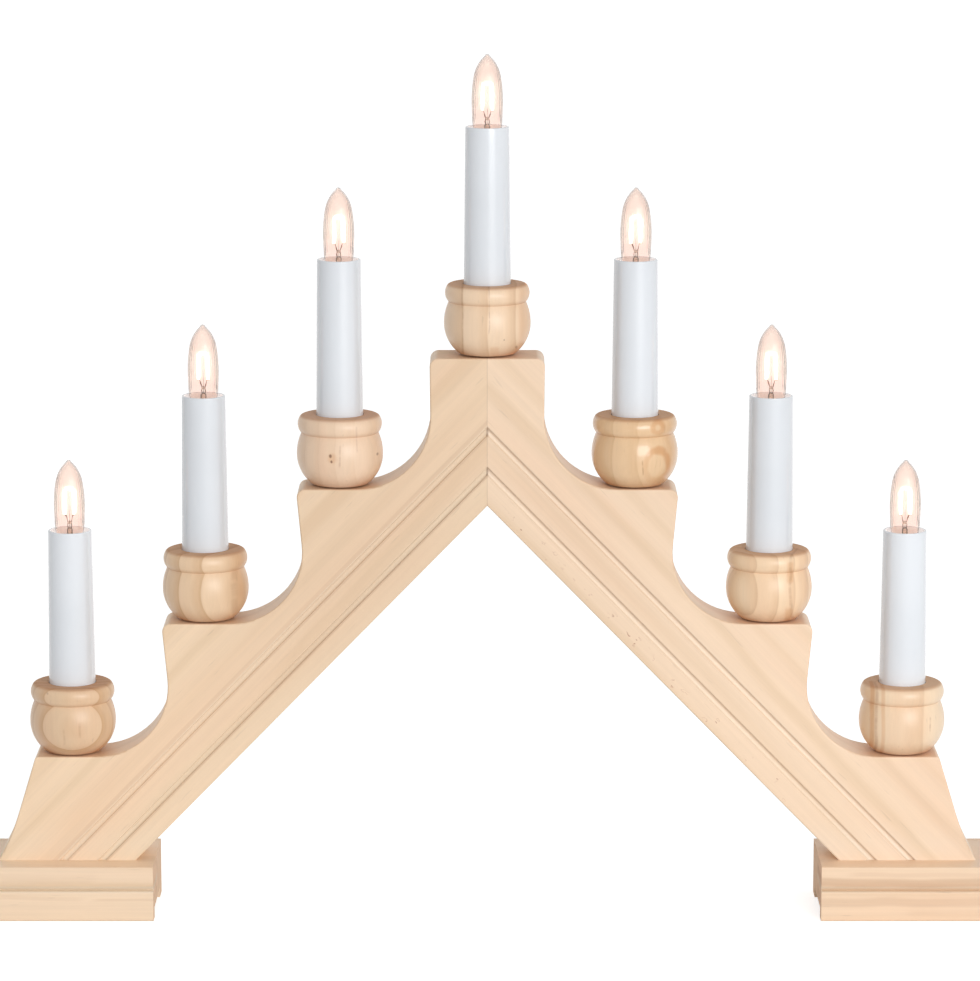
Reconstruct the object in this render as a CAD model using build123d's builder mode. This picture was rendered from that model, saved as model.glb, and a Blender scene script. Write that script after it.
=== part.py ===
from build123d import *
import math
import os

os.makedirs("parts", exist_ok=True)

# Candle arch in millimetres. X runs to the right, Z up, and -Y faces the viewer.
# The origin is on the floor, under the apex and in the middle of the thickness.

# Planks: two mitred boards with a straight lower edge and scalloped ledges above
plank_thickness = 28.0
plank_slope = 45.75
apex_height = 201.4
base_length = 66.6
arris_round = 0.8

# Ledges: the crown's over the apex, and the others evenly down the plank to the last, over the base
crown_depth = 71.1
crown_half_width = 27.1
crown_rise = 63.1
crown_step = 70.5
ledge_gain = 1.22
ledge_run = 18.0
last_inset = 30.6

# Coves: a quarter round from each ledge up into a wall that leans outward
cove_setback = 12.0
crown_cove_setback = 8.4
wall_lean = 5.4
crown_wall_lean = 0.5
nose_radius = 4.0
end_reach = 17.2
end_nose_radius = 2.0
end_knee_drop = 28.0
end_lean = 17.0

# Grooves in the front face, measured square to the lower edge
groove_lines = (11.8, 25.2)
groove_radius = 1.6
groove_depth = 1.2

# Wire channel in the back face, closed by a strip
channel_line = 29.5
channel_width = 9.0
channel_depth = 16.0
channel_end_margin = 2.0
strip_thickness = 3.0

# Mitre dowels
dowel_radius = 3.0
dowel_length = 30.0
dowel_rise = 15.0
dowel_spacing = 36.0
dowel_face_gap = 3.5
dowel_clearance = 0.05
dowel_end_gap = 0.5
dowel_chamfer = 0.6

# Feet
foot_height = 27.0
foot_depth = 54.0
foot_overhang = 9.0
foot_lower_band = 14.8
foot_ovolo_height = 6.8
foot_quirk_depth = 3.0
foot_ledge_round = 0.9
foot_toe_round = 1.2
foot_arris_round = 0.6
foot_front_lip = 8.0
foot_back_lip = 11.0
foot_hollow = 5.0

# Foot screws
screw_radius = 2.0
screw_head_radius = 4.0
screw_length = 35.0
screw_point = 4.0
screw_inset = 14.0
screw_clearance = 0.05
screw_sink = 0.3
screw_recess_width = 0.9
screw_recess_depth = 1.4
screw_head_angle = 90.0

# Cups, by radius and height above the ledge
cup_height = 34.2
cup_foot_radius = 8.2
cup_base_radius = 13.5
cup_base_height = 0.9
cup_belly_radius = 20.65
cup_belly_height = 14.8
cup_neck_radius = 18.4
cup_neck_height = 25.5
cup_rim_radius = 20.15
cup_rim_height = 30.2
cup_lip_radius = 18.3
cup_lip_round = 2.4
cup_lower_curve_share = (0.68, 0.40)
cup_upper_curve_share = (0.80, 0.50)
socket_depth = 15.0
socket_clearance = 0.13
spigot_radius = 6.0
spigot_length = 9.5
spigot_end_gap = 0.5
spigot_clearance = 0.1

# Candle tubes
tube_height = 74.6
tube_mouth_radius = 10.43
tube_foot_radius = 11.25
tube_wall = 1.13
tube_lip_round = 0.5
tube_bore_round = 0.3
tube_rib_width = 1.0
tube_rib_height = 1.5

# Lampholders
holder_sink = 5.0
holder_height = 19.0
holder_floor = 3.0
holder_clearance = 0.05
shell_wall = 0.35
shell_setback = 0.5
shell_length = 13.0
thread_clearance = 0.1
spring_radius = 2.0

# Bulbs: small screw cap, height measured from the mouth of the tube
cap_radius = 4.75
cap_wall = 0.3
cap_length = 10.0
cap_sink = 4.4
insulator_radius = 3.4
insulator_height = 1.6
contact_radius = 1.5
contact_height = 0.7
glass_height = 34.1
glass_radius = 7.5
glass_belly = 12.0
glass_waist_radius = 6.5
glass_waist = 23.5
glass_mouth_radius = 7.0
glass_mouth = 0.5
glass_tip_radius = 1.2
glass_tip_drop = 0.9
glass_tip_share = 0.5
glass_neck_radius = 4.35
glass_neck_length = 2.6
glass_wall = 0.5

# Filament mounts
stem_radius = 1.5
stem_height = 1.0
stem_clearance = 0.05
stem_foot = 1.0
bead_radius = 1.0
bead_rise = 3.7
lead_radius = 0.22
lead_spread = 0.7
lead_hook_rise = 7.5
lead_hook_inner = 1.7
lead_hook_outer = 2.8
support_rise = 20.3
support_reach = 1.5
filament_radius = 0.3
filament_spread = 2.4
filament_shoulder_rise = 18.8
filament_bend = 0.8

# Wires
wire_radius = 0.9
wire_spread = 1.2
wire_bend = 2.3
wire_bore_clearance = 0.5
return_track = 2.4

# Cord inlet in the right strip
inlet_step = 18.5
bushing_radius = 3.6
bushing_wall = 1.0
bushing_flange_radius = 4.3
bushing_flange = 0.8
inlet_wire_spread = 1.15
inlet_lead = 9.0

overrun = 2.0
middle_candle = 4
candle_numbers = range(1, 8)
slope = math.radians(plank_slope)


# Places worked out from the sizes above.
# Each ledge gains a little on the plank's slope over the one above it.
inner_base = (apex_height - foot_height) / math.tan(slope)
outer_base = inner_base + base_length
right_candles = [number for number in candle_numbers if number > middle_candle]
last_candle = right_candles[-1]
candle_step = (inner_base + last_inset - crown_step) / (len(right_candles) - 1)
ledge_rise = candle_step * math.tan(slope) - ledge_gain
crown_z = apex_height + crown_depth


def candle_x(number):
    place = number - middle_candle
    if place == 0:
        return 0
    return math.copysign(crown_step + (abs(place) - 1) * candle_step, place)


def ledge_z(number):
    place = abs(number - middle_candle)
    if place == 0:
        return crown_z
    return crown_z - crown_rise - (place - 1) * ledge_rise


def line_z(x, distance):
    """Height at x of a line parallel to the lower edge, this far square above it."""
    return apex_height - abs(x) * math.tan(slope) + distance / math.cos(slope)


tube_mouth = cup_height + tube_height
socket_floor = cup_height - socket_depth
tube_taper = (tube_foot_radius - tube_mouth_radius) / tube_height
socket_radius = tube_foot_radius + tube_taper * socket_depth + socket_clearance
tube_bore = tube_mouth_radius - tube_wall
holder_top = tube_mouth - holder_sink
holder_seat = holder_top - holder_height
shell_bore = cap_radius + thread_clearance
shell_radius = shell_bore + shell_wall
cap_top = tube_mouth - cap_sink
cap_bottom = cap_top - cap_length
contact_bottom = cap_bottom - insulator_height - contact_height
wire_bore = wire_spread + wire_radius + wire_bore_clearance
wire_hole_radius = wire_spread + wire_bend
link_track = channel_width / 2 - wire_bend
channel_end_x = candle_x(last_candle) + wire_hole_radius + channel_end_margin


def upright(number):
    """Vertical plane through a candle's axis, with its origin on the ledge."""
    return Plane(origin=(candle_x(number), 0, ledge_z(number)), x_dir=(1, 0, 0), z_dir=(0, -1, 0))


def stand_axis(number):
    return Axis((candle_x(number), 0, ledge_z(number)), (0, 0, 1))


def plank_section(face_y):
    """Plane square to the right plank at the apex: x from the lower edge, y towards the viewer."""
    return Plane(
        origin=(0, face_y, apex_height),
        x_dir=(math.sin(slope), 0, math.cos(slope)),
        z_dir=(math.cos(slope), 0, -math.sin(slope)),
    )


def along_plank(x, distance):
    """Length along the plank, from the section at the apex to this x on a line parallel to the edge."""
    return (x - distance * math.sin(slope)) / math.cos(slope)


def finish(piece, name):
    piece.part.label = name
    export_step(piece.part, f"parts/{name}.step")


# Planks

def cove_radius(number):
    if number == middle_candle + 1:
        return crown_step - crown_cove_setback - crown_half_width
    return candle_step - cove_setback - ledge_run


def cove_centre(number):
    setback = crown_cove_setback if number == middle_candle + 1 else cove_setback
    return candle_x(number) - setback, ledge_z(number) + cove_radius(number)


def cove_lean(number):
    return math.radians(crown_wall_lean if number == middle_candle + 1 else wall_lean)


def wall_foot(number):
    x, z = cove_centre(number)
    lean = cove_lean(number)
    return x - cove_radius(number) * math.cos(lean), z + cove_radius(number) * math.sin(lean)


def wall_head(number):
    x, z = wall_foot(number)
    head_z = ledge_z(number - 1)
    return x + (head_z - z) * math.tan(cove_lean(number)), head_z


def cove_middle(number):
    x, z = cove_centre(number)
    half_turn = (math.pi / 2 + cove_lean(number)) / 2
    return x - cove_radius(number) * math.sin(half_turn), z - cove_radius(number) * math.cos(half_turn)


end_corner = (candle_x(last_candle) + end_reach, ledge_z(last_candle))
end_knee = (end_corner[0] + end_knee_drop * math.tan(math.radians(end_lean)), end_corner[1] - end_knee_drop)

with BuildPart() as plank_blank:
    with BuildSketch(Plane.XZ) as board_face:
        with BuildLine():
            Line((0, apex_height), (0, crown_z))
            ledge_start = (0, crown_z)
            for number in right_candles:
                Line(ledge_start, wall_head(number))
                Line(wall_head(number), wall_foot(number))
                ledge_start = (cove_centre(number)[0], ledge_z(number))
                ThreePointArc(wall_foot(number), cove_middle(number), ledge_start)
            Line(ledge_start, end_corner)
            end_wall = Line(end_corner, end_knee)
            TangentArc(end_knee, (outer_base, foot_height), tangent=end_wall % 1)
            Line((outer_base, foot_height), (inner_base, foot_height))
            Line((inner_base, foot_height), (0, apex_height))
        make_face()
        for number in right_candles:
            fillet(board_face.vertices().sort_by_distance(wall_head(number))[0], radius=nose_radius)
        fillet(board_face.vertices().sort_by_distance(end_corner)[0], radius=end_nose_radius)
    extrude(amount=plank_thickness / 2, both=True)
    front_edges = plank_blank.edges().group_by(Axis.Y)[0]
    back_edges = plank_blank.edges().group_by(Axis.Y)[-1]
    mitre_edges = plank_blank.faces().sort_by(Axis.X)[0].edges()
    base_edges = plank_blank.faces().sort_by(Axis.Z)[0].edges()
    fillet((front_edges + back_edges) - mitre_edges - base_edges, radius=arris_round)

# Front grooves, run through from the mitre to the base, and a back channel, blind beyond the lowest candle
groove_lead = max(groove_lines) * math.tan(slope) + overrun
channel_lead = (channel_line + channel_width) * math.tan(slope)
channel_start = plank_section(plank_thickness / 2).offset(-channel_lead)
channel_length = channel_lead + along_plank(channel_end_x, channel_line)

with BuildPart() as right_milling:
    with BuildSketch(plank_section(-plank_thickness / 2).offset(-groove_lead)):
        with Locations(*[(line, groove_radius - groove_depth) for line in groove_lines]):
            Circle(groove_radius)
    extrude(amount=groove_lead + along_plank(outer_base, 0))
    with BuildSketch(channel_start):
        with Locations((channel_line, 0)):
            Rectangle(channel_width, channel_depth, align=(Align.CENTER, Align.MIN))
    extrude(amount=channel_length)

with BuildPart() as left_milling:
    mirror(right_milling.part, about=Plane.YZ)

dowel_y = -plank_thickness / 2 + dowel_face_gap + dowel_radius
dowel_places = [(dowel_y, apex_height + dowel_rise + step * dowel_spacing) for step in (0, 1)]
screw_head_z = foot_hollow + screw_sink
screw_xs = (inner_base + screw_inset, outer_base - screw_inset)

# Both planks come from the same blank, turned round for the left one
for side, milling, name in ((1, right_milling, "right_board"), (-1, left_milling, "left_board")):
    with BuildPart() as board:
        add(plank_blank.part, rotation=(0, 0, 90 - side * 90))
        add(milling.part, mode=Mode.SUBTRACT)

        # Spigot holes and wire holes below each candle
        for number in [middle_candle] + right_candles:
            x = candle_x(number)
            with Locations((side * x, 0, ledge_z(number))):
                Hole(spigot_radius + spigot_clearance, depth=spigot_length + spigot_end_gap)
                Hole(wire_hole_radius, depth=ledge_z(number) - line_z(x, channel_line))

        # Dowel holes in the mitre
        with BuildSketch(Plane.YZ):
            with Locations(*dowel_places):
                Circle(dowel_radius + dowel_clearance)
        extrude(amount=side * (dowel_length / 2 + dowel_end_gap), mode=Mode.SUBTRACT)

        # Pilot holes for the foot screws
        with BuildSketch(Plane.XY.offset(foot_height)):
            with Locations(*[(side * x, 0) for x in screw_xs]):
                Circle(screw_radius + screw_clearance)
        extrude(amount=screw_head_z + screw_length - foot_height, mode=Mode.SUBTRACT)
    finish(board, name)

# Strips that close the channel, mitred like the planks
with BuildPart() as plain_strip:
    with BuildSketch(channel_start):
        with Locations((channel_line, 0)):
            Rectangle(channel_width, strip_thickness, align=(Align.CENTER, Align.MIN))
    extrude(amount=channel_length)
    split(bisect_by=Plane.YZ, keep=Keep.TOP)

with BuildPart() as left_cover_strip:
    mirror(plain_strip.part, about=Plane.YZ)
finish(left_cover_strip, "left_cover_strip")

inlet_x = candle_x(last_candle) - inlet_step
inlet_z = line_z(inlet_x, channel_line)
back_y = plank_thickness / 2
inlet_plane = Plane(origin=(inlet_x, back_y, inlet_z), x_dir=(-1, 0, 0), z_dir=(0, 1, 0))

with BuildPart() as right_cover_strip:
    add(plain_strip.part)
    with Locations(inlet_plane):
        Hole(bushing_radius, depth=strip_thickness)
finish(right_cover_strip, "right_cover_strip")

with BuildPart() as cord_bushing:
    with BuildSketch(inlet_plane.offset(-strip_thickness)):
        Circle(bushing_radius)
    extrude(amount=strip_thickness)
    with BuildSketch(inlet_plane):
        Circle(bushing_flange_radius)
    extrude(amount=bushing_flange)
    with Locations(inlet_plane.offset(bushing_flange)):
        Hole(bushing_radius - bushing_wall)
finish(cord_bushing, "cord_bushing")

with BuildPart() as mitre_dowels:
    with BuildSketch(Plane.YZ.offset(-dowel_length / 2)):
        with Locations(*dowel_places):
            Circle(dowel_radius)
    extrude(amount=dowel_length)
    dowel_ends = mitre_dowels.edges().filter_by(GeomType.CIRCLE)
    chamfer(dowel_ends, length=dowel_chamfer)
finish(mitre_dowels, "mitre_dowels")

# Feet
screw_angle = math.radians(screw_head_angle / 2)
screw_head_height = (screw_head_radius - screw_radius) / math.tan(screw_angle)

with BuildPart() as right_foot:
    front_y = -foot_depth / 2
    quirk_y = front_y + foot_quirk_depth
    upper_band = foot_lower_band + foot_ovolo_height
    with BuildSketch(Plane.YZ.offset(inner_base - foot_overhang)) as foot_section:
        with BuildLine():
            Line((front_y, 0), (front_y, foot_lower_band))
            Line((front_y, foot_lower_band), (quirk_y, foot_lower_band))
            TangentArc((front_y, upper_band), (quirk_y, foot_lower_band), tangent=(0, -1))
            Line((front_y, upper_band), (front_y, foot_height))
            Line((front_y, foot_height), (-front_y, foot_height))
            Line((-front_y, foot_height), (-front_y, 0))
            Line((-front_y, 0), (front_y, 0))
        make_face()
        hollow_front = front_y + foot_front_lip
        hollow_width = foot_depth - foot_front_lip - foot_back_lip
        with Locations((hollow_front, 0)):
            Rectangle(hollow_width, foot_hollow, align=(Align.MIN, Align.MIN), mode=Mode.SUBTRACT)
        fillet(foot_section.vertices().group_by(Axis.Y)[-1], radius=foot_arris_round)
        fillet(foot_section.vertices().sort_by_distance((front_y, 0))[0], radius=foot_toe_round)
        lower_arris = foot_section.vertices().sort_by_distance((front_y, foot_lower_band))[0]
        fillet(lower_arris, radius=foot_ledge_round)
    extrude(amount=outer_base - inner_base + 2 * foot_overhang)
    with Locations(*[Plane(origin=(x, 0, foot_hollow), z_dir=(0, 0, -1)) for x in screw_xs]):
        CounterSinkHole(
            screw_radius + screw_clearance,
            screw_head_radius + screw_clearance + screw_sink,
            counter_sink_angle=screw_head_angle,
        )
finish(right_foot, "right_foot")

with BuildPart() as left_foot:
    mirror(right_foot.part, about=Plane.YZ)
finish(left_foot, "left_foot")

with BuildPart() as right_screws:
    for x in screw_xs:
        with BuildSketch(Plane(origin=(x, 0, screw_head_z), x_dir=(1, 0, 0), z_dir=(0, -1, 0))):
            Polygon(
                (0, 0),
                (screw_head_radius, 0),
                (screw_radius, screw_head_height),
                (screw_radius, screw_length - screw_point),
                (0, screw_length),
                align=None,
            )
        revolve(axis=Axis((x, 0, 0), (0, 0, 1)))
        with BuildSketch(Plane.XY.offset(screw_head_z)):
            with Locations((x, 0)):
                Rectangle(screw_head_radius, screw_recess_width)
                Rectangle(screw_recess_width, screw_head_radius)
        extrude(amount=screw_recess_depth, mode=Mode.SUBTRACT)

with BuildPart() as foot_screws:
    add(right_screws.part)
    mirror(right_screws.part, about=Plane.YZ)
finish(foot_screws, "foot_screws")


# Pieces of each candle, turned about its axis: radius across and height above the ledge

def cup_outline():
    belly = (cup_belly_radius, cup_belly_height)
    neck = (cup_neck_radius, cup_neck_height)
    lower_curve = (
        cup_base_radius + cup_lower_curve_share[0] * (cup_belly_radius - cup_base_radius),
        cup_base_height + cup_lower_curve_share[1] * (cup_belly_height - cup_base_height),
    )
    upper_curve = (
        cup_neck_radius + cup_upper_curve_share[0] * (cup_belly_radius - cup_neck_radius),
        cup_belly_height + cup_upper_curve_share[1] * (cup_neck_height - cup_belly_height),
    )
    ThreePointArc((cup_base_radius, cup_base_height), lower_curve, belly)
    ThreePointArc(belly, upper_curve, neck)
    ThreePointArc(neck, (cup_rim_radius, cup_rim_height), (cup_lip_radius, cup_height))
    Polyline(
        (cup_lip_radius, cup_height),
        (socket_radius, cup_height),
        (socket_radius, socket_floor),
        (wire_bore, socket_floor),
        (wire_bore, -spigot_length),
        (spigot_radius, -spigot_length),
        (spigot_radius, 0),
        (cup_foot_radius, 0),
        (cup_base_radius, cup_base_height),
    )


def tube_radius(height):
    return tube_mouth_radius + tube_taper * (tube_mouth - height)


def tube_outline():
    rib_foot = holder_seat - tube_rib_height
    Polyline(
        (tube_radius(socket_floor), socket_floor),
        (tube_mouth_radius, tube_mouth),
        (tube_bore, tube_mouth),
        (tube_bore, holder_seat),
        (tube_bore - tube_rib_width, holder_seat),
        (tube_bore - tube_rib_width, rib_foot),
        (tube_radius(rib_foot) - tube_wall, rib_foot),
        (tube_radius(socket_floor) - tube_wall, socket_floor),
        close=True,
    )


def holder_outline():
    outside = tube_bore - holder_clearance
    Polyline(
        (0, holder_seat),
        (outside, holder_seat),
        (outside, holder_top),
        (shell_radius, holder_top),
        (shell_radius, holder_seat + holder_floor),
        (0, holder_seat + holder_floor),
        close=True,
    )


def cap_outline():
    inside = cap_radius - cap_wall
    Polyline(
        (insulator_radius, cap_bottom),
        (cap_radius, cap_bottom),
        (cap_radius, cap_top),
        (inside, cap_top),
        (inside, cap_bottom + cap_wall),
        (insulator_radius, cap_bottom + cap_wall),
        close=True,
    )


def contact_outline():
    Polyline(
        (0, cap_bottom + cap_wall),
        (insulator_radius, cap_bottom + cap_wall),
        (insulator_radius, cap_bottom),
        (contact_radius, cap_bottom - insulator_height),
        (contact_radius, contact_bottom),
        (0, contact_bottom),
        close=True,
    )


def glass_curve(inset):
    """Flame-shaped line from the tip down to the neck, drawn in from the outside by the inset."""
    top = tube_mouth + glass_height - inset
    crown = (0, top)
    tip = (glass_tip_radius - inset * glass_tip_share, top - glass_tip_drop)
    waist = (glass_waist_radius - inset, tube_mouth + glass_waist)
    belly = (glass_radius - inset, tube_mouth + glass_belly)
    mouth = (glass_mouth_radius - inset, tube_mouth + glass_mouth)
    neck = (glass_neck_radius - inset, cap_top)
    neck_foot = (glass_neck_radius - inset, cap_top - glass_neck_length)
    upper = TangentArc(belly, waist, tangent=(0, 1))
    flame = TangentArc(waist, tip, tangent=upper % 1)
    TangentArc(crown, tip, tangent=(1, 0))
    lower = TangentArc(belly, mouth, tangent=(0, -1))
    TangentArc(mouth, neck, tangent=lower % 1)
    Line(neck, neck_foot)
    return crown, neck_foot


def glass_outline():
    outer_crown, outer_foot = glass_curve(0)
    inner_crown, inner_foot = glass_curve(glass_wall)
    Line(outer_crown, inner_crown)
    Line(outer_foot, inner_foot)


def turned(outline, number):
    """Piece that an outline sweeps round a candle's axis."""
    with BuildPart() as piece:
        with BuildSketch(upright(number)):
            with BuildLine():
                outline()
            make_face()
        revolve(axis=stand_axis(number))
    return piece


def bent_wire(points, radius, bend=0):
    """Round wire along straight runs, with its corners rounded."""
    with BuildPart() as wire:
        with BuildLine() as route:
            if bend > 0:
                FilletPolyline(*points, radius=bend)
            else:
                Line(*points)
        with BuildSketch(Plane(origin=route.line @ 0, z_dir=route.line % 0)):
            Circle(radius)
        sweep(path=route.line)
    return wire.part


def shell_outline():
    shell_top = holder_top - shell_setback
    Polyline(
        (shell_bore, shell_top - shell_length),
        (shell_radius, shell_top - shell_length),
        (shell_radius, shell_top),
        (shell_bore, shell_top),
        close=True,
    )


def spring_outline():
    spring_foot = holder_seat + holder_floor
    Polyline(
        (0, spring_foot),
        (spring_radius, spring_foot),
        (spring_radius, contact_bottom),
        (0, contact_bottom),
        close=True,
    )


def stem_outline():
    """Glass stem: a foot that fits inside the neck, a cone, and a rod up to the lead wires."""
    foot_radius = glass_neck_radius - glass_wall - stem_clearance
    foot_z = cap_top - glass_neck_length
    Polyline(
        (0, foot_z),
        (foot_radius, foot_z),
        (foot_radius, foot_z + stem_foot),
        (stem_radius, cap_top),
        (stem_radius, tube_mouth + stem_height),
        (0, tube_mouth + stem_height),
        close=True,
    )


def mount_point(number, x, rise):
    """Point in a bulb, beside its axis by x and above the mouth of the tube by the rise."""
    return (candle_x(number) + x, 0, ledge_z(number) + tube_mouth + rise)


for number in candle_numbers:
    plain_cup = turned(cup_outline, number)
    with BuildPart() as candle_cup:
        add(plain_cup.part)
        top_edges = candle_cup.edges().group_by(Axis.Z)[-1].sort_by(SortBy.LENGTH)
        fillet(top_edges[-1], radius=cup_lip_round)
    finish(candle_cup, f"candle_cup_{number}")

    plain_tube = turned(tube_outline, number)
    with BuildPart() as candle_tube:
        add(plain_tube.part)
        mouth_edges = candle_tube.edges().group_by(Axis.Z)[-1].sort_by(SortBy.LENGTH)
        fillet(mouth_edges[-1], radius=tube_lip_round)
        mouth_edges = candle_tube.edges().group_by(Axis.Z)[-1].sort_by(SortBy.LENGTH)
        fillet(mouth_edges[0], radius=tube_bore_round)
    finish(candle_tube, f"candle_tube_{number}")

    finish(turned(holder_outline, number), f"lampholder_{number}")
    finish(turned(cap_outline, number), f"bulb_cap_{number}")
    finish(turned(contact_outline, number), f"bulb_contact_{number}")

    finish(turned(glass_outline, number), f"bulb_glass_{number}")

    # Stem, bead, two hooked lead wires, a support with its cross bar, and the filament over it
    mount_pieces = [turned(stem_outline, number).part]
    for side in (-1, 1):
        lead_route = [
            mount_point(number, side * lead_spread, 0),
            mount_point(number, side * lead_spread, bead_rise),
            mount_point(number, side * lead_hook_inner, lead_hook_rise),
            mount_point(number, side * lead_hook_outer, lead_hook_rise),
        ]
        mount_pieces.append(bent_wire(lead_route, lead_radius, filament_bend / 2))
    support_route = [mount_point(number, 0, 0), mount_point(number, 0, support_rise)]
    mount_pieces.append(bent_wire(support_route, lead_radius))
    bar_route = [mount_point(number, side * support_reach, support_rise) for side in (-1, 1)]
    mount_pieces.append(bent_wire(bar_route, lead_radius))
    filament_route = [
        mount_point(number, -filament_spread, lead_hook_rise),
        mount_point(number, -filament_spread, filament_shoulder_rise),
        mount_point(number, -support_reach, support_rise),
        mount_point(number, support_reach, support_rise),
        mount_point(number, filament_spread, filament_shoulder_rise),
        mount_point(number, filament_spread, lead_hook_rise),
    ]
    mount_pieces.append(bent_wire(filament_route, filament_radius, filament_bend))
    with BuildPart() as filament_mount:
        for piece in mount_pieces:
            add(piece)
        with Locations(mount_point(number, 0, bead_rise)):
            Sphere(bead_radius)
    finish(filament_mount, f"filament_mount_{number}")

contact_pieces = []
for number in candle_numbers:
    contact_pieces.append(turned(shell_outline, number).part)
    contact_pieces.append(turned(spring_outline, number).part)
with BuildPart() as holder_contacts:
    for piece in contact_pieces:
        add(piece)
finish(holder_contacts, "holder_contacts")


# Wiring: each link runs from one lampholder down into the channel and up to the next

def leg_x(number, side):
    return candle_x(number) + side * wire_spread


def leg_top(number, side):
    """Start of a wire on the underside of a lampholder."""
    return (leg_x(number, side), 0, ledge_z(number) + holder_seat)


def track_point(x, offset):
    """Point in the channel, this far above its middle line."""
    return (x, 0, line_z(x, channel_line + offset))


routes = []
for number in candle_numbers[:-1]:
    start_x = leg_x(number, 1)
    end_x = leg_x(number + 1, -1)
    routes.append([
        leg_top(number, 1),
        track_point(start_x, link_track),
        track_point(end_x, link_track),
        leg_top(number + 1, -1),
    ])

inlet_run = inlet_wire_spread * math.cos(slope)
first_x = leg_x(candle_numbers[0], -1)
last_x = leg_x(last_candle, 1)
return_end = track_point(inlet_x - inlet_run, 0)
supply_end = track_point(inlet_x + inlet_run, 0)
routes.append([
    leg_top(candle_numbers[0], -1),
    track_point(first_x, -return_track),
    track_point(0, -return_track),
    track_point(inlet_x - inlet_lead, -return_track),
    return_end,
    (return_end[0], back_y, return_end[2]),
])
routes.append([
    leg_top(last_candle, 1),
    track_point(last_x, -return_track),
    track_point(inlet_x + inlet_lead, -return_track),
    supply_end,
    (supply_end[0], back_y, supply_end[2]),
])
wires = [bent_wire(route, wire_radius, wire_bend) for route in routes]
with BuildPart() as wiring:
    for wire in wires:
        add(wire)
finish(wiring, "wiring")
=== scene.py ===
import math

import bmesh
import bpy
from mathutils import Matrix, Vector


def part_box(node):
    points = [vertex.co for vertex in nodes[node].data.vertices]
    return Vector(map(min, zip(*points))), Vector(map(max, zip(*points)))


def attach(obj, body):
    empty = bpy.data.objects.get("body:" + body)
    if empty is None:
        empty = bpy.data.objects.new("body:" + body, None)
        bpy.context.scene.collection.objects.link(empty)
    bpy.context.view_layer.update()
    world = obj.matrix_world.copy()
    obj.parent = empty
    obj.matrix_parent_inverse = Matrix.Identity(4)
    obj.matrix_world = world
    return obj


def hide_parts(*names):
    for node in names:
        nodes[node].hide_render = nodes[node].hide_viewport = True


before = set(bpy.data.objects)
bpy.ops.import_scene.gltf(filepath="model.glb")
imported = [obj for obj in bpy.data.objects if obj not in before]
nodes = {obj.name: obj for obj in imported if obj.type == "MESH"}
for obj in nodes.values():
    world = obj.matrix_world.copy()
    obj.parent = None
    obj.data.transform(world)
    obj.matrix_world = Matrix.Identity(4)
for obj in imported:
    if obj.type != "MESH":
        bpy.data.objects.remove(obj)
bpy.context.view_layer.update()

mm = 0.001
candle_numbers = range(1, 8)

# Planks: their slope, and the height at which their lower edges meet
plank_slope = math.radians(45.75)
apex_height = 201.4 * mm

# Camera: a long lens from a little above, as far off as the photograph's
camera_place = (1.3 * mm, -2073.4 * mm, 594.4 * mm)
camera_pitch = math.radians(10.6)
camera_lens = 161.47
camera_sensor = 36.0

# Light: a large soft lamp from the front right, and an even white surround
key_power = 33.0
key_distance = 2.6
key_azimuth = math.radians(24)
key_elevation = math.radians(11)
key_width = 1.5
key_height = 1.1
surround_light = 0.52
floor_tone = 0.8
floor_glow = 0.66
floor_reach = 12.0
look_at = Vector((0, 0, 0.2))


def srgb(red, green, blue):
    """Linear colour of an 8-bit screen colour."""
    linear = []
    for value in (red, green, blue):
        share = value / 255
        linear.append(share / 12.92 if share <= 0.04045 else ((share + 0.055) / 1.055) ** 2.4)
    return (*linear, 1.0)


def grey(value):
    return (value, value, value, 1.0)


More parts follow.
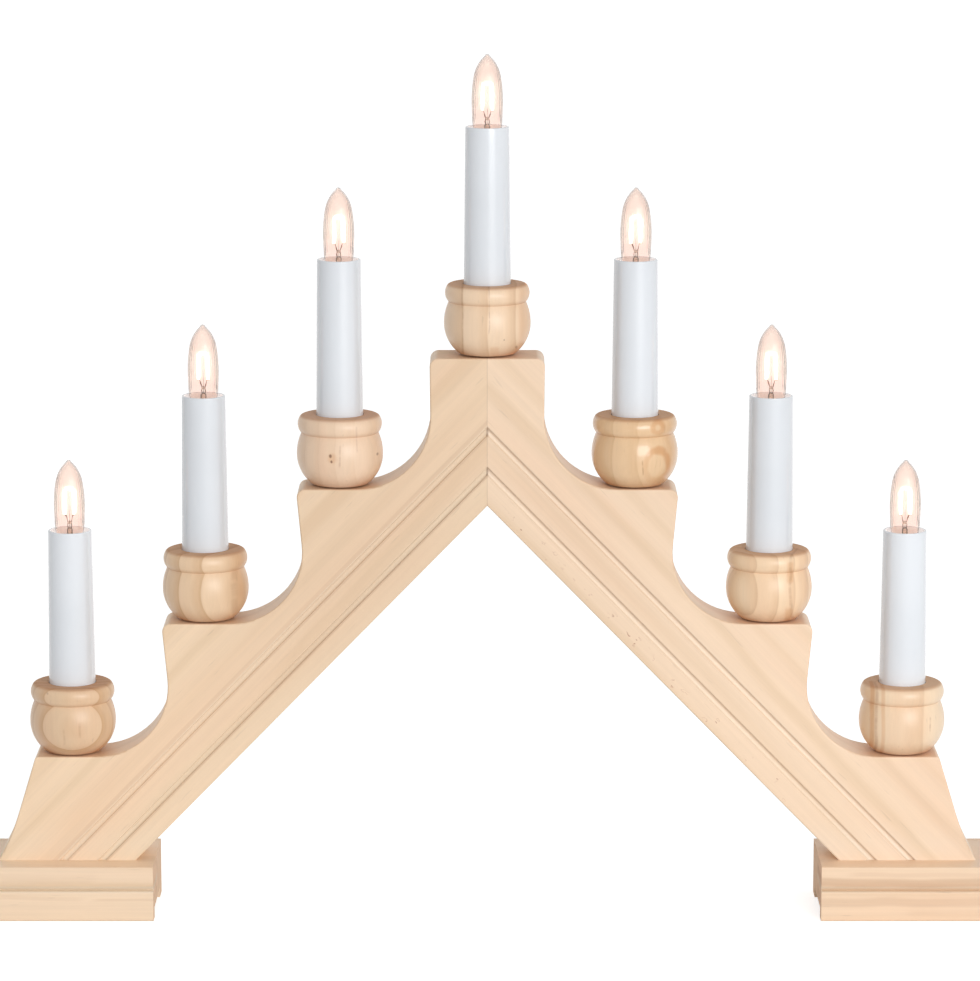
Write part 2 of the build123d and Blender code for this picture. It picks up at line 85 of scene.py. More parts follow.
class Graph:
    """The node tree of a material or of the world, built from values and sockets."""

    def __init__(self, owner):
        owner.use_nodes = True
        self.owner = owner
        self.tree = owner.node_tree
        self.tree.nodes.clear()

    def feed(self, socket, value):
        if isinstance(value, bpy.types.NodeSocket):
            self.tree.links.new(value, socket)
        else:
            socket.default_value = value

    def node(self, kind, inputs=None, **settings):
        made = self.tree.nodes.new(kind)
        for key, value in settings.items():
            setattr(made, key, value)
        for key, value in (inputs or {}).items():
            self.feed(made.inputs[key], value)
        return made

    def math(self, operation, *values):
        made = self.node("ShaderNodeMath", operation=operation)
        for socket, value in zip(made.inputs, values):
            self.feed(socket, value)
        return made.outputs[0]

    def product(self, first, *others):
        for other in others:
            first = self.math("MULTIPLY", first, other)
        return first

    def minus(self, vector, place):
        inputs = {0: vector, 1: tuple(place)}
        return self.node("ShaderNodeVectorMath", inputs, operation="SUBTRACT").outputs[0]

    def dot(self, vector, direction):
        inputs = {0: vector, 1: tuple(direction)}
        return self.node("ShaderNodeVectorMath", inputs, operation="DOT_PRODUCT").outputs["Value"]

    def place(self):
        """The point on the piece, in metres."""
        return self.node("ShaderNodeTexCoord").outputs["Object"]

    def split(self, vector):
        return self.node("ShaderNodeSeparateXYZ", {0: vector}).outputs[:3]

    def front(self):
        """One on the half towards the viewer."""
        return self.math("LESS_THAN", self.split(self.place())[1], 0.0)

    def join(self, x, y, z):
        return self.node("ShaderNodeCombineXYZ", {0: x, 1: y, 2: z}).outputs[0]

    def noise(self, vector, scale, detail=2.0, roughness=0.5):
        inputs = {"Vector": vector, "Scale": scale, "Detail": detail, "Roughness": roughness}
        return self.node("ShaderNodeTexNoise", inputs).outputs[0]

    def sway(self, vector, scale, reach, detail=2.0):
        """Noise to both sides of zero."""
        middled = self.math("SUBTRACT", self.noise(vector, scale, detail), 0.5)
        return self.math("MULTIPLY", middled, reach)

    def span(self, value, low, high, to_low=0.0, to_high=1.0):
        """Smooth step of a value from low to high."""
        inputs = {0: value, 1: low, 2: high, 3: to_low, 4: to_high}
        made = self.node("ShaderNodeMapRange", inputs, interpolation_type="SMOOTHSTEP")
        return made.outputs[0]

    def window(self, value, centre, half, soft):
        """One near the centre, nothing further off than half and soft together."""
        apart = self.math("ABSOLUTE", self.math("SUBTRACT", value, centre))
        return self.span(apart, half, half + soft, 1.0, 0.0)

    def ramp(self, value, stops, interpolation="EASE"):
        made = self.node("ShaderNodeValToRGB", {0: value})
        made.color_ramp.interpolation = interpolation
        elements = made.color_ramp.elements
        while len(elements) < len(stops):
            elements.new(1.0)
        for element, (position, colour) in zip(elements, stops):
            element.position = position
            element.color = colour
        return made.outputs[0]

    def mix(self, share, first, second, blend="MIX"):
        made = self.node("ShaderNodeMix", data_type="RGBA", blend_type=blend)
        self.feed(made.inputs[0], share)
        self.feed(made.inputs[6], first)
        self.feed(made.inputs[7], second)
        return made.outputs[2]

    def bump(self, height, depth, strength):
        inputs = {"Height": height, "Distance": depth, "Strength": strength}
        return self.node("ShaderNodeBump", inputs).outputs[0]

    def seen(self):
        """One for what is seen straight, in gloss or through glass."""
        paths = self.node("ShaderNodeLightPath").outputs
        either = self.math("MAXIMUM", paths["Is Camera Ray"], paths["Is Glossy Ray"])
        return self.math("MAXIMUM", either, paths["Is Transmission Ray"])

    def surface(self, **sockets):
        """Material of a principled surface. A socket's name is written with underscores."""
        shader = self.node("ShaderNodeBsdfPrincipled")
        for key, value in sockets.items():
            self.feed(shader.inputs[key.replace("_", " ")], value)
        self.finish(shader)
        return self.owner

    def finish(self, shader, output="ShaderNodeOutputMaterial"):
        self.node(output, {"Surface": shader.outputs[0]})


def material_graph(name):
    return Graph(bpy.data.materials.new(name))


def dress(node, material):
    for slot in nodes[node].material_slots:
        slot.material = material


# Pine

# Tone across one ring, from its early wood to its late wood
crisp_ring = ((0.0, 0.12), (0.06, 0.0), (0.50, 0.16), (0.84, 0.70), (0.96, 1.0), (1.0, 0.12))
soft_ring = (
    (0.0, 0.22), (0.22, 0.0), (0.50, 0.10), (0.74, 0.85), (0.83, 1.0), (0.92, 0.62), (1.0, 0.22)
)

# Tints of the marks, multiplied into the wood. The painted cool cast offsets the warm light that fills
# hollows and the planks' low ends.
golden = srgb(228, 188, 140)
brown = srgb(160, 112, 76)
rusty = srgb(168, 108, 82)
dark = srgb(110, 74, 52)
tan = srgb(214, 201, 190)
painted_cool_cast = (0.94, 1.09, 1.24, 1.0)

# Noise in the wood: how fine each kind is across the grain, and how far it is drawn out along it
wander_scale = 26.0
patch_scale = 38.0
flutter_scale = 160.0
streak_scale = 260.0
fleck_scale = 620.0
fibre_scale = 900.0
fibre_stretch = 0.03
fleck_stretch = 0.10
flutter_share = 0.22
fibre_depth = 0.08 * mm

plain_wood = {
    "profile": crisp_ring,
    "stretch": 0.12,
    "tilt": 0.0,
    "edge": 0.0,
    "uneven": 0.75,
    "blush_share": 0.5,
    "fibre": 0.10,
    "streak": 0.10,
    "fleck": 0.10,
    "end_share": 0.5,
    "rough": 0.40,
    "end_rough": 0.30,
    "coat": 0.12,
    "coat_rough": 0.28,
}


def drawn_out(graph, grain, stretch, seed):
    """Place for a noise that is drawn out along the grain."""
    u, v, w = grain
    return graph.join(graph.math("MULTIPLY_ADD", u, stretch, seed), v, w)


def late_share(graph, grain, wood):
    """Share of late wood, in rings that wander round the pith and differ in strength."""
    u, v, w = grain
    slow = drawn_out(graph, grain, wood["stretch"], wood["seed"])
    pith_v, pith_w = wood["pith"]
    from_v = graph.math("SUBTRACT", graph.math("MULTIPLY_ADD", u, wood["tilt"], v), pith_v)
    from_w = graph.math("SUBTRACT", w, pith_w)
    square = graph.math("MULTIPLY", from_w, from_w)
    distance = graph.math("SQRT", graph.math("MULTIPLY_ADD", from_v, from_v, square))
    distance = graph.math("ADD", distance, graph.sway(slow, wander_scale, wood["wander"]))
    flutter = graph.sway(slow, flutter_scale, wood["wander"] * flutter_share)
    distance = graph.math("ADD", distance, flutter)
    ring = graph.math("MULTIPLY_ADD", distance, 1 / wood["ring"], -wood["edge"] / wood["ring"])
    stops = [(place, grey(tone)) for place, tone in wood["profile"]]
    profile = graph.ramp(graph.math("FRACT", ring), stops)
    count = graph.math("ADD", graph.math("FLOOR", ring), wood["seed"])
    lot = graph.node("ShaderNodeTexWhiteNoise", {"W": count}, noise_dimensions="1D").outputs[0]
    strength = graph.math("MULTIPLY_ADD", lot, wood["uneven"], 1 - wood["uneven"])
    return graph.product(profile, strength, wood["contrast"])


def pine(name, origin, along, across, wood, marks=()):
    """Lacquered pine. Rings lie round the pith, whose place is across and deep of the origin."""
    graph = material_graph(name)
    along = Vector(along)
    across = Vector(across)
    here = graph.minus(graph.place(), origin)
    grain = [graph.dot(here, direction) for direction in (along, across, along.cross(across))]
    slow = drawn_out(graph, grain, wood["stretch"], wood["seed"])
    fine = drawn_out(graph, grain, fibre_stretch, wood["seed"])

    colour = graph.mix(late_share(graph, grain, wood), wood["early"], wood["late"])
    patch = graph.span(graph.noise(slow, patch_scale), 0.42, 0.68)
    patch = graph.math("MULTIPLY", patch, wood["blush_share"])
    colour = graph.mix(patch, colour, wood["blush"], "MULTIPLY")

    fibre = graph.noise(fine, fibre_scale, 3.0, 0.6)
    streak = graph.noise(fine, streak_scale)
    fleck = graph.noise(drawn_out(graph, grain, fleck_stretch, wood["seed"]), fleck_scale, 1.0)
    fleck = graph.math("MULTIPLY", graph.span(fleck, 0.70, 0.80), wood["fleck"])
    shade = graph.math("MULTIPLY_ADD", graph.math("SUBTRACT", fibre, 0.5), wood["fibre"], 1.0)
    shade = graph.math("MULTIPLY_ADD", graph.math("SUBTRACT", streak, 0.5), wood["streak"], shade)
    shade = graph.math("SUBTRACT", shade, fleck)
    # Painted light: the tone is scaled along the plank, lighter and darker where the lamp's light falls
    # more and less on it.
    if "painted_light_run" in wood:
        start, end, first, last = wood["painted_light_run"]
        shade = graph.math("MULTIPLY", shade, graph.span(grain[0], start, end, first, last))
    colour = graph.mix(1.0, colour, graph.join(shade, shade, shade), "MULTIPLY")

    facing = graph.dot(graph.node("ShaderNodeNewGeometry").outputs["Normal"], along)
    end_grain = graph.span(graph.math("ABSOLUTE", facing), 0.35, 1.0)
    darker = graph.math("MULTIPLY", end_grain, wood["end_share"])
    colour = graph.mix(darker, colour, wood["end"], "MULTIPLY")

    dents = graph.math("MULTIPLY", fibre, 0.5)
    for mark in marks:
        amount, tint = mark(graph, *grain)
        colour = graph.mix(amount, colour, tint, "MULTIPLY")
        dents = graph.math("SUBTRACT", dents, amount)

    rough = graph.math("MULTIPLY_ADD", streak, 0.14, wood["rough"])
    return graph.surface(
        Base_Color=colour,
        Roughness=graph.math("MULTIPLY_ADD", end_grain, wood["end_rough"], rough),
        Specular_IOR_Level=0.45,
        Coat_Weight=graph.math("MULTIPLY", graph.math("SUBTRACT", 1.0, end_grain), wood["coat"]),
        Coat_Roughness=wood["coat_rough"],
        Normal=graph.bump(dents, fibre_depth, 0.35),
    )


# Marks in the wood: grain, and on the planks and feet also painted shade and painted cool casts. Their
# places and sizes are in millimetres, across the grain first, then along it.

# Each place across the grain has its own noise along it, this far on for each millimetre
noise_step = 0.01
line_wave = 1.6
line_wave_scale = 90.0
line_break_scale = 420.0
line_core_share = 0.3
line_end_soft = 2.0
streak_wave = 4.0
streak_wave_scale = 24.0
spot_scale = 420.0
knot_scale = 260.0
knot_wave_share = 0.22
curl_scale = 330.0
curl_stretch = 0.55
curl_side_soft = 2.0
curl_end_soft = 8.0
curl_patch_scale = 90.0
painted_cast_rise = (27 * mm, 50 * mm)
mitre_half = 0.10
mitre_soft = 0.25
nick_half_width = 0.25
nick_half_height = 0.9
nick_soft_width = 0.5
nick_soft_height = 0.8


def own_noise(graph, u, place, scale, detail=1.0):
    """Noise along the grain that differs from place to place."""
    return graph.noise(graph.join(u, place * noise_step, 0.0), scale, detail)


def between(graph, value, low, high, soft):
    """One from low to high, with soft ends."""
    return graph.window(value, (low + high) / 2 * mm, (high - low) / 2 * mm, soft * mm)


def oval(graph, u, v, v_place, u_place, v_radius, u_radius):
    """Places across and along from an oval's middle in its radii, and the distance they make."""
    across = graph.math("DIVIDE", graph.math("SUBTRACT", v, v_place * mm), v_radius * mm)
    along = graph.math("DIVIDE", graph.math("SUBTRACT", u, u_place * mm), u_radius * mm)
    square = graph.math("MULTIPLY", along, along)
    return across, along, graph.math("SQRT", graph.math("MULTIPLY_ADD", across, across, square))


def line_mark(place, width, strength, low, high, bow=0.0):
    """Line along the grain on the front, broken here and there. A bow leans it with depth."""
    def mark(graph, u, v, w):
        wave = own_noise(graph, u, place, line_wave_scale)
        wave = graph.math("MULTIPLY_ADD", wave, line_wave * mm, v)
        wave = graph.math("MULTIPLY_ADD", w, bow, wave)
        core = width * line_core_share
        side = graph.window(wave, (place + line_wave / 2) * mm, core * mm, (width - core) * mm)
        length = between(graph, u, low, high, line_end_soft)
        breaks = own_noise(graph, u, place * 2, line_break_scale, 2.0)
        broken = graph.span(breaks, 0.30, 0.62, 0.35, 1.0)
        return graph.product(side, length, graph.front(), broken, strength), brown
    return mark


def streak_mark(place, half, soft, strength, low, high, tint=golden, end_soft=8.0, waver=1.0):
    """Soft streak along the grain on the front that wavers a little."""
    def mark(graph, u, v, w):
        start = graph.join(u, place * noise_step, 0.0)
        drift = graph.sway(start, streak_wave_scale, streak_wave * waver * mm, 1.0)
        drift = graph.math("ADD", drift, v)
        side = graph.window(drift, place * mm, half * mm, soft * mm)
        length = between(graph, u, low, high, end_soft)
        return graph.product(side, length, graph.front(), strength), tint
    return mark


def spot_mark(v_place, u_place, v_radius, u_radius, strength, tint=dark):
    """Uneven spot on the front."""
    def mark(graph, u, v, w):
        far = oval(graph, u, v, v_place, u_place, v_radius, u_radius)[2]
        rough = graph.noise(graph.join(u, v, 0.0), spot_scale, 1.0)
        amount = graph.span(graph.math("MULTIPLY_ADD", rough, 0.5, far), 0.6, 1.25, 1.0, 0.0)
        return graph.product(amount, graph.front(), strength), tint
    return mark


def knot_ring(v_place, u_place, v_radius, u_radius, strength, thick, lean):
    """Ring of a grown-over knot on the front, heavier on its upper right."""
    def mark(graph, u, v, w):
        across, along, far = oval(graph, u, v, v_place, u_place, v_radius, u_radius)
        wave = graph.sway(graph.join(u, v, 0.0), knot_scale, knot_wave_share, 1.0)
        far = graph.math("ADD", wave, far)
        line = graph.window(far, 1.0 - thick * 0.5, thick * 0.25, thick)
        side = graph.span(graph.math("ADD", across, along), -1.2, 1.2, 1.0 - lean, 1.0)
        return graph.product(line, side, graph.front(), strength), golden
    return mark


def grain_and_shade_band(place, half, soft, strength, tint=brown):
    """Straight band along the grain on the front. On the planks and feet it is painted shade at a groove's
    wall and a painted cool cast in a hollow; on a cup it is a band of grain.
    """
    def mark(graph, u, v, w):
        band = graph.window(v, place * mm, half * mm, soft * mm)
        return graph.product(band, graph.front(), strength), tint
    return mark


def curl_marks(place, half, low, high, strength):
    """Small curly flecks on the front, along one edge of a plank."""
    def mark(graph, u, v, w):
        drawn = graph.join(graph.math("MULTIPLY", u, curl_stretch), v, 0.0)
        curl = graph.window(graph.noise(drawn, curl_scale, 2.0, 0.6), 0.62, 0.006, 0.018)
        strip = graph.window(v, place * mm, half * mm, curl_side_soft * mm)
        length = between(graph, u, low, high, curl_end_soft)
        patchy = graph.span(own_noise(graph, u, 0.0, curl_patch_scale), 0.48, 0.58)
        return graph.product(curl, strip, length, patchy, graph.front(), strength), rusty
    return mark


def painted_low_end_cast(graph, u, v, w):
    """Painted cool cast on the end of a plank just above its foot, offsetting the warm light the foot
    throws up.
    """
    z = graph.split(graph.place())[2]
    return graph.span(z, *painted_cast_rise, 0.45, 0.0), painted_cool_cast


def mitre_line(graph, u, v, w):
    """Thin joint line where the planks meet."""
    x = graph.split(graph.place())[0]
    return graph.product(graph.window(x, 0.0, mitre_half * mm, mitre_soft * mm), 0.16), dark


def mitre_nick(place):
    """Small dark gap where a groove runs into the mitre."""
    def mark(graph, u, v, w):
        x = graph.split(graph.place())[0]
        near = graph.window(x, 0.0, nick_half_width * mm, nick_soft_width * mm)
        level = graph.window(v, place * mm, nick_half_height * mm, nick_soft_height * mm)
        return graph.product(near, graph.front(), level, 0.45), dark
    return mark


# Planks, with the strips that close their channels

board_wood = dict(
    plain_wood,
    late=srgb(218, 184, 142),
    blush=srgb(252, 236, 230),
    end=srgb(226, 206, 194),
    ring=15 * mm,
    wander=22 * mm,
    contrast=0.32,
    profile=soft_ring,
    blush_share=0.30,
)
# Marks on both planks: painted cool casts in the two grooves and at the low ends, then the mitre's joint
# line and its nicks
board_marks = [
    grain_and_shade_band(11.9, 1.2, 0.8, 0.4, painted_cool_cast),
    grain_and_shade_band(25.6, 1.2, 0.8, 0.4, painted_cool_cast),
    painted_low_end_cast,
    mitre_line,
    mitre_nick(11.6),
    mitre_nick(24.9),
]
board_looks = {
    "left_board": {
        "side": -1,
        "seed": 3.1,
        "early": srgb(250, 221, 188),
        "painted_light_run": (-230 * mm, -40 * mm, 1.01, 0.88),
        "marks": [
            # Painted shade lines along the grooves' edges
            grain_and_shade_band(10.2, 0.35, 0.55, 0.22),
            grain_and_shade_band(23.4, 0.30, 0.6, 0.16),
            grain_and_shade_band(28.2, 0.50, 0.8, 0.12),
        ],
    },
    "right_board": {
        "side": 1,
        "seed": 8.7,
        "early": srgb(252, 223, 193),
        "painted_light_run": (20 * mm, 190 * mm, 0.92, 0.99),
        "marks": [
            # Painted shade lines along the grooves' upper edges
            grain_and_shade_band(13.0, 0.35, 0.6, 0.22),
            grain_and_shade_band(26.4, 0.35, 0.6, 0.22),
            curl_marks(4.5, 1.8, 10, 200, 0.62),
        ],
    },
}
board_pith = (-38 * mm, 55 * mm)
strip_pith = (20 * mm, -40 * mm)
for name, look in board_looks.items():
    side = look["side"]
    apex = (0, 0, apex_height)
    lengthwise = (math.cos(plank_slope), 0, -side * math.sin(plank_slope))
    crosswise = (side * math.sin(plank_slope), 0, math.cos(plank_slope))
    wood = dict(board_wood, seed=look["seed"], early=look["early"], painted_light_run=look["painted_light_run"])
    wood.update(pith=board_pith, tilt=side * 0.03)
    marks = look["marks"] + board_marks
    dress(name, pine(f"pine_{name}", apex, lengthwise, crosswise, wood, marks))
    strip = dict(wood, seed=look["seed"] + 2, early=srgb(242, 208, 172), contrast=0.6)
    strip.update(pith=strip_pith)
    strip_name = name.replace("board", "cover_strip")
    dress(strip_name, pine(f"pine_strip_{name}", apex, lengthwise, crosswise, strip))


# Feet

foot_wood = dict(board_wood, pith=(-16 * mm, 20 * mm), ring=11 * mm, wander=9 * mm)
# Painted cool cast in the moulding's quirk, offsetting the warm light that fills it
painted_quirk_cast = grain_and_shade_band(2.3, 0.9, 1.0, 0.7, painted_cool_cast)
foot_looks = {
    "left_foot": {
        "seed": 12.4,
        "early": srgb(251, 224, 194),
        "marks": [
            streak_mark(-2.4, 0.3, 0.7, 0.26, 18, 60, tan),
            streak_mark(-1.6, 0.4, 1.2, 0.16, -34, 4, tan),
            # Painted shade in the hollow under the upper band, on the left part
            streak_mark(7.4, 1.4, 2.0, 0.10, -60, 10, tan),
        ],
    },
    "right_foot": {
        "seed": 17.9,
        "early": srgb(250, 220, 189),
        "marks": [
            # Painted shade in the hollow under the upper band
            streak_mark(5.6, 1.2, 2.0, 0.52, -60, 60, tan),
            streak_mark(-4.0, 1.0, 2.2, 0.36, -60, 60, tan),
            streak_mark(9.4, 0.5, 1.2, 0.22, -24, 60, tan),
            streak_mark(-9.4, 0.6, 1.6, 0.16, 4, 60, tan),
        ],
    },
}
for name, look in foot_looks.items():
    low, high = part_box(name)
    wood = dict(foot_wood, seed=look["seed"], early=look["early"])
    marks = look["marks"] + [painted_quirk_cast]
    dress(name, pine(f"pine_{name}", (low + high) / 2, (1, 0, 0), (0, 0, 1), wood, marks))


# Turned cups. Each has its own rings, by direction, spacing and the place of one edge, and its own marks.

cup_wood = dict(
    plain_wood,
    late=srgb(208, 166, 122),
    blush=srgb(252, 234, 224),
    end=srgb(206, 176, 156),
    end_share=0.75,
    wander=3.2 * mm,
    stretch=0.25,
    uneven=0.35,
    rough=0.33,
    coat=0.25,
)
# The golden cup is the glossiest
glossy_cup = {5: {"late": srgb(196, 150, 96), "rough": 0.24, "coat": 0.5, "coat_rough": 0.14}}
cup_figures = {
    1: {"early": (236, 204, 169), "turn": -86, "away": 60, "ring": 5.6, "edge": 16.4, "contrast": 0.75},
    2: {"early": (241, 209, 174), "turn": -33, "away": 90, "ring": 10.4, "edge": 1.4, "contrast": 0.80},
    3: {"early": (242, 212, 183), "turn": -8, "away": 80, "ring": 8.0, "edge": 3.6, "contrast": 0.16},
    4: {"early": (244, 215, 184), "turn": 4, "away": 90, "ring": 12.6, "edge": -11.0, "contrast": 0.55},
    5: {"early": (236, 200, 158), "turn": -14, "away": 60, "ring": 12.0, "edge": -15.0, "contrast": 0.30},
    6: {"early": (251, 222, 187), "turn": 41, "away": 60, "ring": 9.2, "edge": 1.7, "contrast": 0.52},
    7: {"early": (251, 225, 193), "turn": 6, "away": 90, "ring": 22.0, "edge": 8.8, "contrast": 0.36},
}
cup_marks = {
    1: [
        line_mark(-2.5, 0.8, 0.16, 8, 14),
        line_mark(5, 0.8, 0.18, 12, 17),
        spot_mark(-10.5, 32, 0.8, 0.8, 0.25),
    ],
    2: [line_mark(14.6, 2.2, 0.16, 2, 26)],
    3: [
        spot_mark(-3.9, 17.2, 0.9, 1.2, 0.75),
        spot_mark(-3.4, 14.6, 0.7, 1.0, 0.75),
        spot_mark(-3.0, 16.0, 3.0, 3.4, 0.34, golden),
        line_mark(0.6, 0.7, 0.24, 13, 21),
        line_mark(8.5, 0.6, 0.18, 20, 30),
        spot_mark(18.2, 16.5, 0.7, 1.0, 0.5),
    ],
    4: [
        line_mark(0.9, 0.5, 0.26, 14, 36),
        spot_mark(8.0, 9.5, 0.5, 0.7, 0.4),
        spot_mark(13.8, 5.0, 0.9, 1.2, 0.4),
        streak_mark(3.5, 1.5, 1.2, 0.24, -9, 5, end_soft=2.0, waver=0.2),
        line_mark(-11.6, 0.6, 0.20, -9, 36),
        grain_and_shade_band(19.5, 3.0, 3.0, 0.34, golden),
    ],
    5: [
        knot_ring(10.0, 12.0, 6.4, 8.8, 0.62, 0.26, 0.7),
        knot_ring(10.5, 30.5, 3.2, 3.4, 0.55, 0.5, 0.3),
        line_mark(3.3, 0.5, 0.32, 9, 14),
    ],
    6: [
        streak_mark(9, 0.9, 1.4, 0.34, 22, 30, end_soft=2.0, waver=0.3),
        line_mark(13.6, 0.9, 0.24, -4, 34, bow=-0.25),
        streak_mark(8.5, 1.0, 1.6, 0.34, -6, 7, end_soft=3.0, waver=0.3),
    ],
    7: [
        line_mark(-13.4, 1.0, 0.26, -9, 40),
        streak_mark(-15.2, 0.5, 0.9, 0.50, -9, 40, waver=0.3),
        streak_mark(-10.4, 0.4, 0.9, 0.36, 0, 40, waver=0.3),
        line_mark(12.4, 0.6, 0.28, 14, 19),
    ],
}
# The marks' heights are from the ledge up, and a cup reaches this far down into its ledge
cup_foot_drop = 9.5 * mm
for number in candle_numbers:
    name = f"candle_cup_{number}"
    low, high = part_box(name)
    figure = cup_figures[number]
    turn = math.radians(figure["turn"])
    away = figure["away"] * mm
    wood = dict(cup_wood, seed=20.0 + 3.7 * number, early=srgb(*figure["early"]))
    wood.update(ring=figure["ring"] * mm, edge=away + figure["edge"] * mm, contrast=figure["contrast"])
    wood.update(pith=(-away * math.cos(turn), -away * math.sin(turn)))
    wood.update(glossy_cup.get(number, {}))
    origin = ((low.x + high.x) / 2, (low.y + high.y) / 2, low.z + cup_foot_drop)
    dress(name, pine(f"turned_pine_{number}", origin, (0, 0, 1), (1, 0, 0), wood, cup_marks[number]))


# Dowels

beech_wood = dict(board_wood, seed=41.0, early=srgb(226, 190, 148), late=srgb(200, 158, 112))
beech_wood.update(pith=(0, 30 * mm), ring=3 * mm, wander=2 * mm, contrast=0.5)
dress("mitre_dowels", pine("beech", (0, 0, 0), (1, 0, 0), (0, 0, 1), beech_wood))


# Plastics and metals

cloud_scale = 22.0
skin_scale = 1400.0
skin_depth = 0.02 * mm
skin_rough = 0.06
gloss_coat_rough = 0.06
draw_scale = 2600.0
draw_depth = 0.015 * mm
tarnish_scale = 180.0


def moulded(name, colour, rough, grain):
    """Matt moulded plastic with a faint flow of tone and a fine skin."""
    graph = material_graph(name)
    here = graph.place()
    deeper = srgb(*(round(c * 0.985) for c in colour))
    skin = graph.noise(here, skin_scale)
    return graph.surface(
        Base_Color=graph.ramp(graph.noise(here, cloud_scale), [(0.35, deeper), (0.65, srgb(*colour))]),
        Roughness=graph.math("MULTIPLY_ADD", skin, skin_rough, rough),
        Normal=graph.bump(skin, skin_depth, grain),
    )


def metal(name, colour, rough, stretch):
    """Drawn or pressed metal with fine marks in one direction and dull patches."""
    graph = material_graph(name)
    x, y, z = graph.split(graph.place())
    marks = graph.noise(graph.join(x, y, graph.math("MULTIPLY", z, stretch)), draw_scale)
    cloud = graph.noise(graph.place(), tarnish_scale)
    dull = srgb(*(round(c * 0.86) for c in colour))
    return graph.surface(
        Base_Color=graph.ramp(cloud, [(0.38, dull), (0.62, srgb(*colour))]),
        Metallic=1.0,
        Roughness=graph.math("MULTIPLY_ADD", marks, 0.22, rough),
        Normal=graph.bump(marks, draw_depth, 0.3),
    )


dress("wiring", moulded("wire_insulation", (236, 236, 232), 0.42, 0.15))
dress("cord_bushing", moulded("bushing_plastic", (236, 236, 232), 0.38, 0.15))
dress("foot_screws", metal("zinc_plate", (205, 203, 190), 0.30, 1.0))
brass = metal("brass", (222, 190, 118), 0.24, 0.2)
solder = metal("solder", (190, 182, 160), 0.36, 1.0)
dress("holder_contacts", brass)


# Candle tubes and lampholders, with a painted glow where their bulbs light them from inside

# Whiteness of the tubes: the outermost ones are paler
tube_white = 229
outer_tube_white = 236
# Painted glow of the bulbs' light, inside the tubes' mouths and on the holders' tops
bore_edge = (9.25 * mm, 9.5 * mm)
mouth_glow_depth = (9 * mm, 1 * mm)
mouth_glow = 0.42
holder_glow_depth = 1 * mm


def candle_skin(number):
    """Glossy white moulding, with a painted glow inside its mouth in place of the bulb's light."""
    low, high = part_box(f"candle_tube_{number}")
    graph = material_graph(f"candle_plastic_{number}")
    here = graph.place()
    x, y, z = graph.split(here)
    from_axis = graph.math("SUBTRACT", x, (low.x + high.x) / 2)
    square = graph.math("MULTIPLY", y, y)
    radius = graph.math("SQRT", graph.math("MULTIPLY_ADD", from_axis, from_axis, square))
    inside = graph.span(radius, *bore_edge, 1.0, 0.0)
    deep, shallow = mouth_glow_depth
    near = graph.span(z, high.z - deep, high.z - shallow, 0.25, 1.0)
    pale = outer_tube_white if number in (1, 7) else tube_white
    stops = [(0.35, srgb(pale - 4, pale, pale + 5)), (0.65, srgb(pale, pale + 4, pale + 9))]
    return graph.surface(
        Base_Color=graph.ramp(graph.noise(here, cloud_scale), stops),
        Roughness=graph.math("MULTIPLY_ADD", graph.noise(here, skin_scale), skin_rough, 0.16),
        Coat_Weight=0.5,
        Coat_Roughness=gloss_coat_rough,
        Emission_Color=srgb(255, 244, 240),
        Emission_Strength=graph.product(inside, near, mouth_glow),
    )


def holder_skin(number):
    """Matt white moulding, with a painted glow on top in place of the bulb's light."""
    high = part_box(f"lampholder_{number}")[1]
    graph = material_graph(f"holder_plastic_{number}")
    here = graph.place()
    z = graph.split(here)[2]
    grain = graph.noise(here, skin_scale)
    return graph.surface(
        Base_Color=graph.ramp(grain, [(0.3, srgb(220, 219, 214)), (0.7, srgb(228, 227, 222))]),
        Roughness=graph.math("MULTIPLY_ADD", grain, skin_rough, 0.46),
        Emission_Color=srgb(255, 242, 236),
        Emission_Strength=graph.span(z, high.z - holder_glow_depth, high.z, 0.0, mouth_glow),
        Normal=graph.bump(grain, skin_depth, 0.2),
    )


for number in candle_numbers:
    dress(f"candle_tube_{number}", candle_skin(number))
    dress(f"lampholder_{number}", holder_skin(number))
    dress(f"bulb_cap_{number}", brass)
    dress(f"bulb_contact_{number}", solder)


# Bulbs: each is built about its own axis, with height measured from the mouth of its tube

glass_ribs = 32
rib_steps = 5
rib_depth = 0.09 * mm
rib_start_rise = 1 * mm
rib_end_rise = 29 * mm
rib_fade_in = 3 * mm
rib_fade_out = 6 * mm
glass_skin = 0.04 * mm
glass_wall = 0.5 * mm
glass_belly_rise = 12 * mm
glass_waist_rise = 23.5 * mm
glass_waist_radius = 6.5 * mm
glass_tip_radius = 1.2 * mm
glass_tip_drop = 0.9 * mm
glass_tip_bore = 0.3 * mm
glass_mouth_rise = 0.5 * mm
glass_mouth_radius = 7.0 * mm
glass_neck_radius = 4.35 * mm
glass_neck_rise = -4.4 * mm
glass_foot_rise = -7.0 * mm
mouth_arc_steps = 8
neck_arc_steps = 6
waist_arc_steps = 10
flame_arc_steps = 16
crown_arc_steps = 4
tiny = 0.001 * mm


def glass_reach(number):
    """Middle of a bulb's glass, the mouth of its tube, the rise above it and the radius."""
    low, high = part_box(f"bulb_glass_{number}")
    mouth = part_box(f"candle_tube_{number}")[1].z
    return (low.x + high.x) / 2, mouth, high.z - mouth, (high.x - low.x) / 2


def tangent_arc(start, direction, end, steps):
    """Points after the start, along the arc that leaves it in a direction, and the last direction."""
    start = Vector(start)
    direction = Vector(direction).normalized()
    chord = Vector(end) - start
    normal = Vector((-direction.y, direction.x))
    centre = start + normal * (chord.length_squared / (2 * chord.dot(normal)))
    sweep = 2 * math.atan2(chord.dot(normal), chord.dot(direction))
    points = []
    for step in range(1, steps + 1):
        points.append(centre + Matrix.Rotation(sweep * step / steps, 2) @ (start - centre))
    return points, Matrix.Rotation(sweep, 2) @ direction


